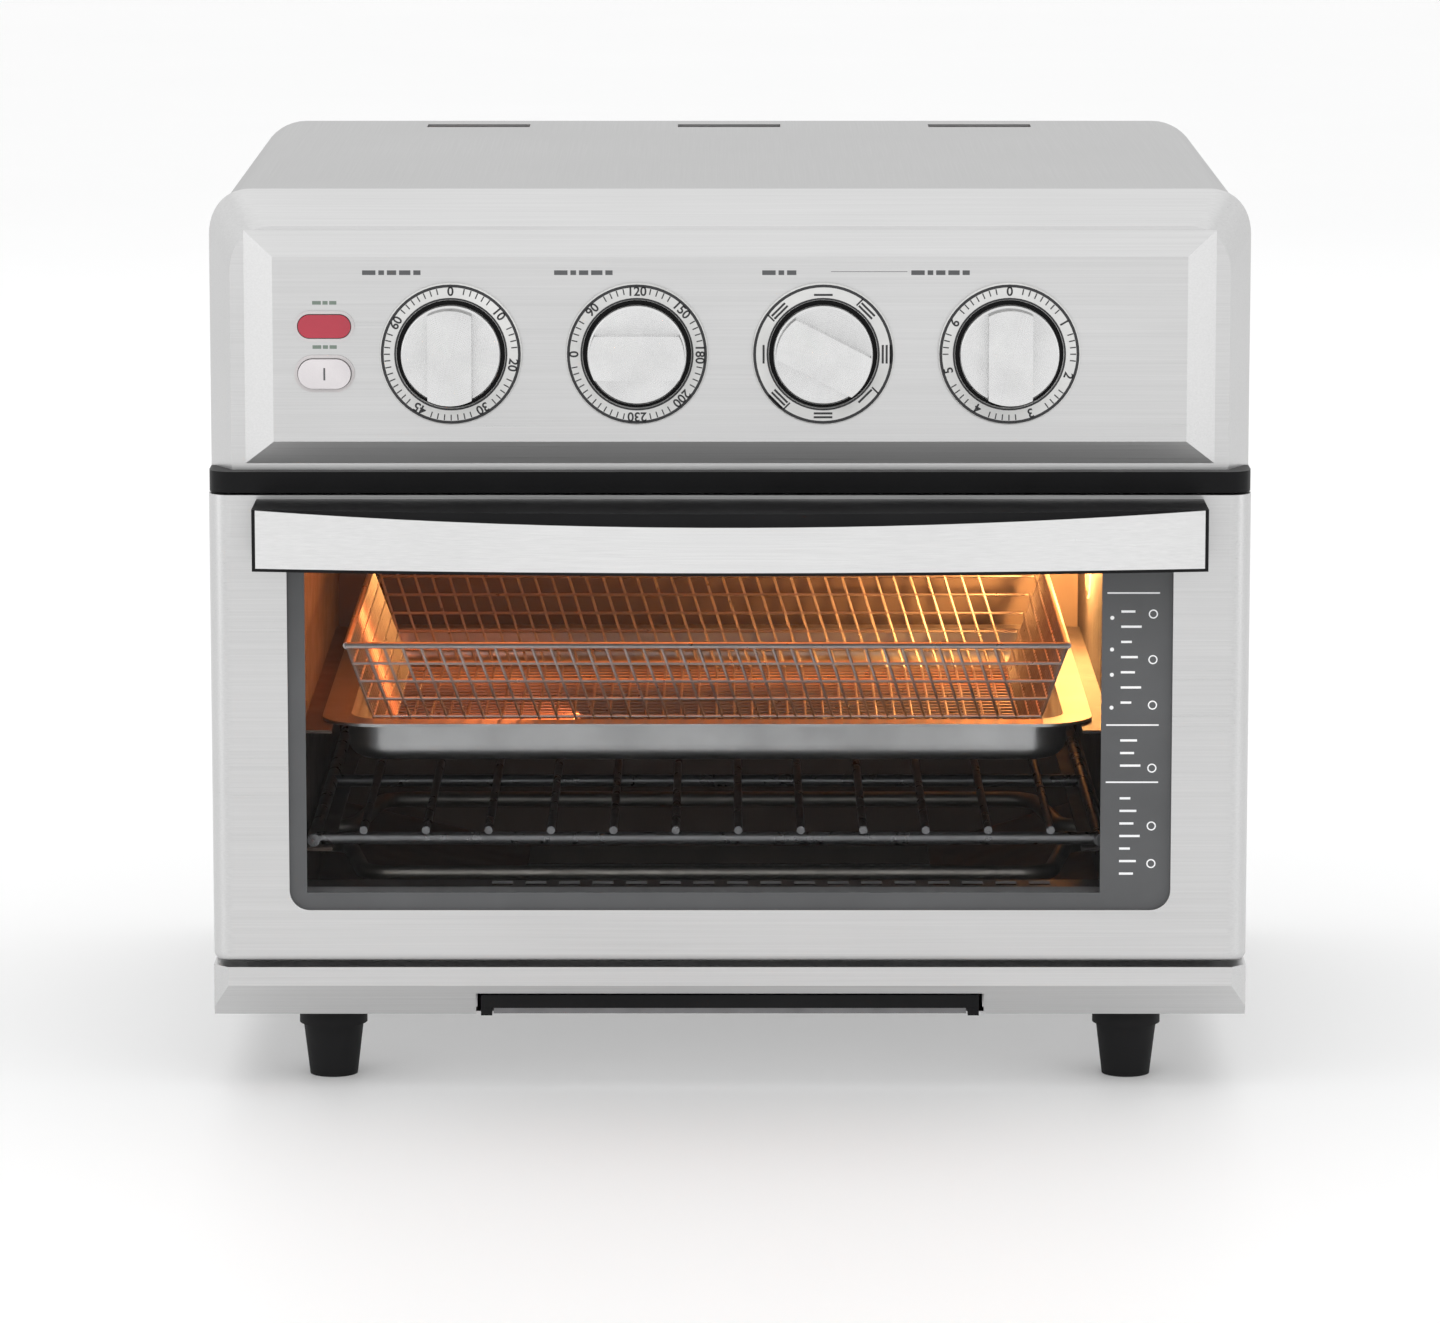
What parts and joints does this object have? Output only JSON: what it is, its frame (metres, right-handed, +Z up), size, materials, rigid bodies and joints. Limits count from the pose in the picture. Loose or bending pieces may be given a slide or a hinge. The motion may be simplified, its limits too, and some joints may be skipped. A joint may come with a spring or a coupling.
{
  "type": "toaster oven",
  "caption": "Counter-top toaster oven: steel casing on feet, drop-down glass door with bowed handle, round dials above it, and a mesh basket, pan, wire rack and crumb tray inside.",
  "frame": {"origin": "on the table, under the middle of the outer box", "axes": "+X to the right seen from the front, +Y from the door to the back, +Z up"},
  "size_m": [0.406, 0.394, 0.355],
  "materials": {
    "stainless": "fine horizontal brush, satin",
    "brushed_plate": "brushed along its length",
    "knob_metal": "satin",
    "dial_face": "satin with dark print",
    "inner_steel": "dull aluminised sheet",
    "galvanised": "zinc-coated sheet",
    "black_plastic": "matte, fine grain",
    "rubber_feet": "matte",
    "door_glass": "clear, dark printed border",
    "red_lens": "translucent gloss",
    "white_button": "semi-gloss",
    "grey_bezel": "satin",
    "pan_metal": "satin",
    "chrome_wire": "bright",
    "heater_sheath": "oxidised",
    "ceramic_bead": "unglazed",
    "steel_parts": "bright steel",
    "fan_metal": "mill finish",
    "motor_iron": "lacquered laminations",
    "lamp_glass": "warm clear glass"
  },
  "bodies": {
    "oven": {"back_panel": "stainless", "back_spacers": "black_plastic", "base_pan": "galvanised", "cavity_ceiling": "inner_steel", "cavity_floor": "inner_steel", "cavity_left": "inner_steel", "cavity_rear": "inner_steel", "cavity_right": "inner_steel", "control_bracket": "galvanised", "cord_gland": "black_plastic", "dial_rings": "dial_face", "door_springs": "steel_parts", "fan_grille": "inner_steel", "fan_motor": "motor_iron", "fan_plenum": "galvanised", "fascia": "stainless", "feet": "rubber_feet", "front_frame": "inner_steel", "front_skirt": "stainless", "function_switch": "black_plastic", "hinge_arms": "galvanised", "insulators": "ceramic_bead", "lamp_bulb": "lamp_glass", "lamp_lens": "lamp_glass", "lamp_socket": "galvanised", "light_switch": "black_plastic", "lower_heaters": "heater_sheath", "motor_bracket": "galvanised", "outer_wrap": "stainless", "oven_timer": "black_plastic", "pill_bezels": "grey_bezel", "power_lens": "red_lens", "rear_screws": "steel_parts", "thermostat": "black_plastic", "toast_timer": "black_plastic", "trim_band": "black_plastic", "upper_heaters": "heater_sheath"},
    "door": {"door_frame": "stainless", "door_glass": "door_glass", "door_liner": "inner_steel", "handle_core": "black_plastic", "handle_plate": "brushed_plate", "hinge_pins": "steel_parts"},
    "oven_timer_dial": {"oven_timer_knob": "knob_metal", "oven_timer_shaft": "steel_parts"},
    "thermostat_dial": {"thermostat_knob": "knob_metal", "thermostat_shaft": "steel_parts"},
    "function_dial": {"function_switch_knob": "knob_metal", "function_switch_shaft": "steel_parts"},
    "toast_timer_dial": {"toast_timer_knob": "knob_metal", "toast_timer_shaft": "steel_parts"},
    "light_button": {"light_button": "white_button"},
    "rack": {"wire_rack": "chrome_wire"},
    "pan": {"baking_pan": "pan_metal", "air_basket": "chrome_wire"},
    "crumb_tray": {"crumb_tray": "inner_steel"},
    "fan": {"fan_impeller": "fan_metal", "fan_shaft": "steel_parts", "cooling_fan": "fan_metal"}
  },
  "joints": [
    {"name": "door_hinge", "type": "hinge", "parent": "oven", "child": "door", "pos_m": [0, -0.147, 0.059], "axis": [1, 0, 0], "range_deg": [0, 90], "stiffness_Nm_per_rad": 0.5, "springref_deg": -34.38},
    {"name": "oven_timer_turn", "type": "hinge", "parent": "oven", "child": "oven_timer_dial", "pos_m": [-0.108, -0.153, 0.2934], "axis": [0, 1, 0], "range_deg": [0, 300]},
    {"name": "thermostat_turn", "type": "hinge", "parent": "oven", "child": "thermostat_dial", "pos_m": [-0.036, -0.153, 0.2934], "axis": [0, 1, 0], "range_deg": [-90, 225]},
    {"name": "function_turn", "type": "hinge", "parent": "oven", "child": "function_dial", "pos_m": [0.036, -0.153, 0.2934], "axis": [0, 1, 0], "range_deg": [-117, 183]},
    {"name": "toast_timer_turn", "type": "hinge", "parent": "oven", "child": "toast_timer_dial", "pos_m": [0.108, -0.153, 0.2934], "axis": [0, 1, 0], "range_deg": [0, 300]},
    {"name": "light_button_press", "type": "slide", "parent": "oven", "child": "light_button", "axis": [0, 1, 0], "range_m": [0, 0.002], "stiffness_N_per_m": 300},
    {"name": "rack_slide", "type": "slide", "parent": "oven", "child": "rack", "axis": [0, -1, 0], "range_m": [0, 0.065]},
    {"name": "pan_slide", "type": "slide", "parent": "oven", "child": "pan", "axis": [0, -1, 0], "range_m": [0, 0.112]},
    {"name": "crumb_tray_slide", "type": "slide", "parent": "oven", "child": "crumb_tray", "axis": [0, -1, 0], "range_m": [0, 0.14]},
    {"name": "fan_spin", "type": "hinge", "parent": "oven", "child": "fan", "pos_m": [-0.009, 0.015, 0.25], "axis": [0, 0, 1], "continuous": true}
  ],
  "couplings": [
    {"joint": "rack_slide", "follows": "door_hinge", "m_per_rad": 0.04},
    {"joint": "pan_slide", "follows": "door_hinge", "m_per_rad": 0.07}
  ]
}
